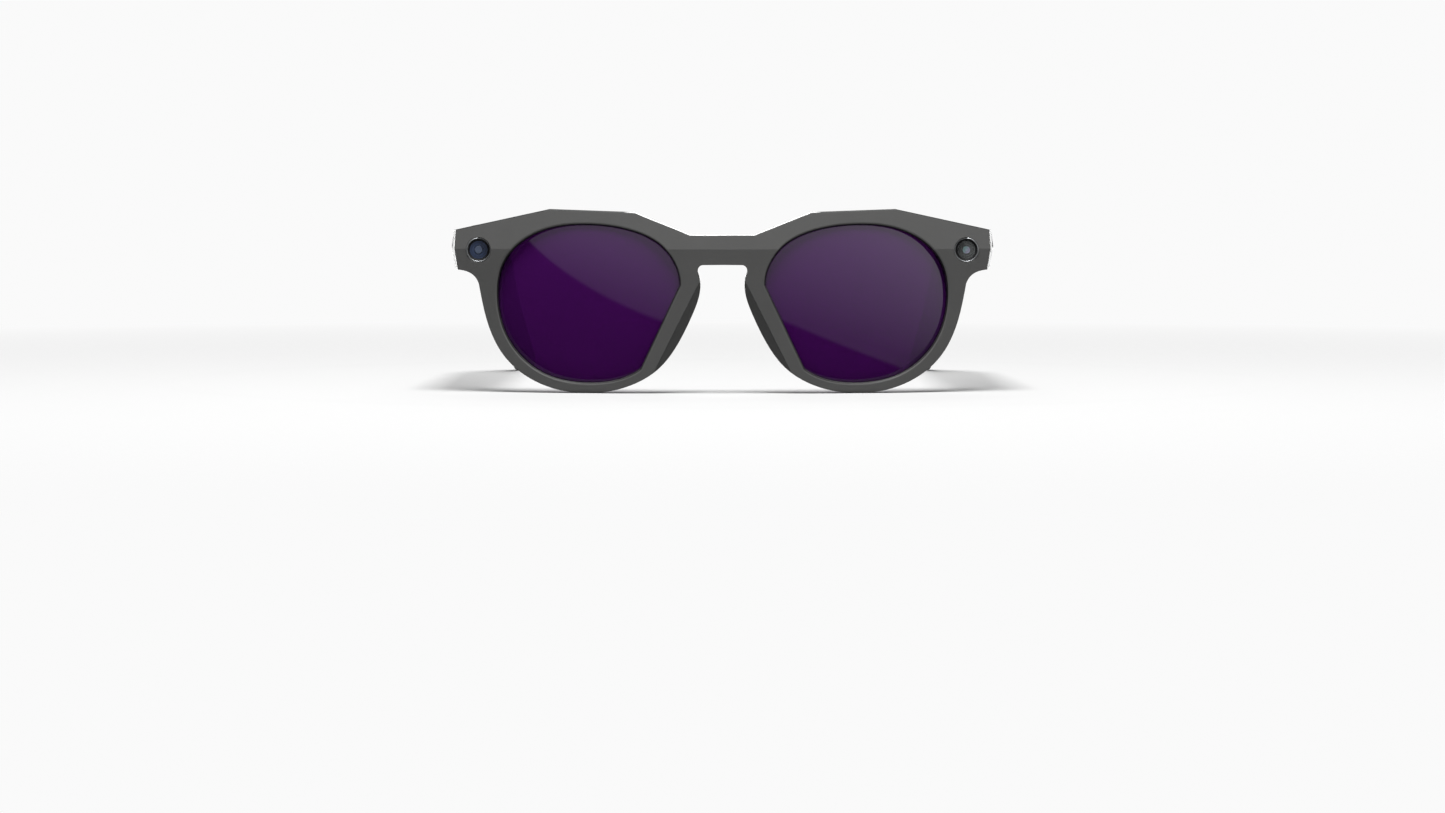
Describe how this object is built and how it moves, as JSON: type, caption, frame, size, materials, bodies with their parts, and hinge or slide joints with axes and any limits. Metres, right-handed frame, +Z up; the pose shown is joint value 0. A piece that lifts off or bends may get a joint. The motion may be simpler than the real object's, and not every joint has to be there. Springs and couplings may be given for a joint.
{
  "type": "smart glasses",
  "caption": "Folding eyeglasses with a faceted round-lens front, tinted lenses, a camera and a capture lamp at the corners, and thick electronic temples with rubber ear tips.",
  "frame": {"origin": "middle of the open glasses' footprint, on the surface they stand on", "axes": "+X towards the wearer's left (the camera's end), -Y the way the wearer looks, so +Y runs back along the open temples, +Z up from the feet of the rims and temple tips"},
  "size_m": [0.1496, 0.1608, 0.05],
  "materials": {
    "frame_plastic": "satin moulded nylon, dark grey",
    "cover_plastic": "fine satin, near black",
    "lens_tint": "polished, dark purple tint",
    "soft_rubber": "matt",
    "bezel_metal": "bright turned edge",
    "camera_glass": "polished, coated",
    "lamp_glass": "polished, dark blue",
    "light_guide": "clear",
    "hinge_steel": "fine brushed",
    "contact_gold": "gold plated",
    "circuit_board": "solder mask over glass fibre",
    "chip_black": "moulded",
    "flex_film": "polyimide film",
    "battery_foil": "laminated foil"
  },
  "bodies": {
    "front": {"brow_cover": "cover_plastic", "camera_barrel": "cover_plastic", "camera_bezel": "bezel_metal", "camera_board": "circuit_board", "camera_lens": "camera_glass", "camera_seal": "cover_plastic", "camera_sensor": "chip_black", "camera_window": "camera_glass", "charging_contacts": "contact_gold", "front_flex": "flex_film", "front_frame": "frame_plastic", "front_hinge_leaf_left": "hinge_steel", "front_hinge_leaf_right": "hinge_steel", "front_leaf_screws_left": "hinge_steel", "front_leaf_screws_right": "hinge_steel", "hinge_screw_left": "hinge_steel", "hinge_screw_right": "hinge_steel", "lamp_bezel": "bezel_metal", "lamp_board": "circuit_board", "lamp_holder": "cover_plastic", "lamp_led": "chip_black", "lamp_window": "lamp_glass", "lens_left": "lens_tint", "lens_right": "lens_tint", "light_guide": "light_guide", "nose_microphone": "hinge_steel", "nose_pad_left": "soft_rubber", "nose_pad_right": "soft_rubber"},
    "temple_left": {"temple_shell_left": "frame_plastic", "temple_cover_left": "cover_plastic", "temple_tip_left": "soft_rubber", "tip_core_left": "hinge_steel", "temple_hinge_leaf_left": "hinge_steel", "temple_leaf_screws_left": "hinge_steel", "cover_screws_left": "hinge_steel", "speaker_left": "chip_black", "speaker_grille_left": "hinge_steel", "temple_microphone_left": "hinge_steel", "battery": "battery_foil", "power_switch_board": "circuit_board"},
    "temple_right": {"temple_shell_right": "frame_plastic", "temple_cover_right": "cover_plastic", "temple_tip_right": "soft_rubber", "tip_core_right": "hinge_steel", "temple_hinge_leaf_right": "hinge_steel", "temple_leaf_screws_right": "hinge_steel", "cover_screws_right": "hinge_steel", "speaker_right": "chip_black", "speaker_grille_right": "hinge_steel", "temple_microphone_right": "hinge_steel", "button_switch": "chip_black", "main_board": "circuit_board", "processor_shield": "hinge_steel", "touch_sensor": "flex_film"},
    "capture_button": {"capture_button": "cover_plastic"},
    "power_slider": {"power_slider": "cover_plastic"}
  },
  "joints": [
    {"name": "temple_left_fold", "type": "hinge", "parent": "front", "child": "temple_left", "pos_m": [0.065, -0.05499, 0.03975], "axis": [0, 0, 1], "range_deg": [0, 90]},
    {"name": "temple_right_fold", "type": "hinge", "parent": "front", "child": "temple_right", "pos_m": [-0.065, -0.05499, 0.03975], "axis": [0, 0, -1], "range_deg": [0, 76]},
    {"name": "capture_button_press", "type": "slide", "parent": "temple_right", "child": "capture_button", "axis": [0, 0, -1], "range_m": [0, 0.0004], "stiffness_N_per_m": 1500, "springref_m": -0.0003},
    {"name": "power_slide", "type": "slide", "parent": "temple_left", "child": "power_slider", "axis": [0, 1, 0], "range_m": [-0.001, 0.001]}
  ]
}
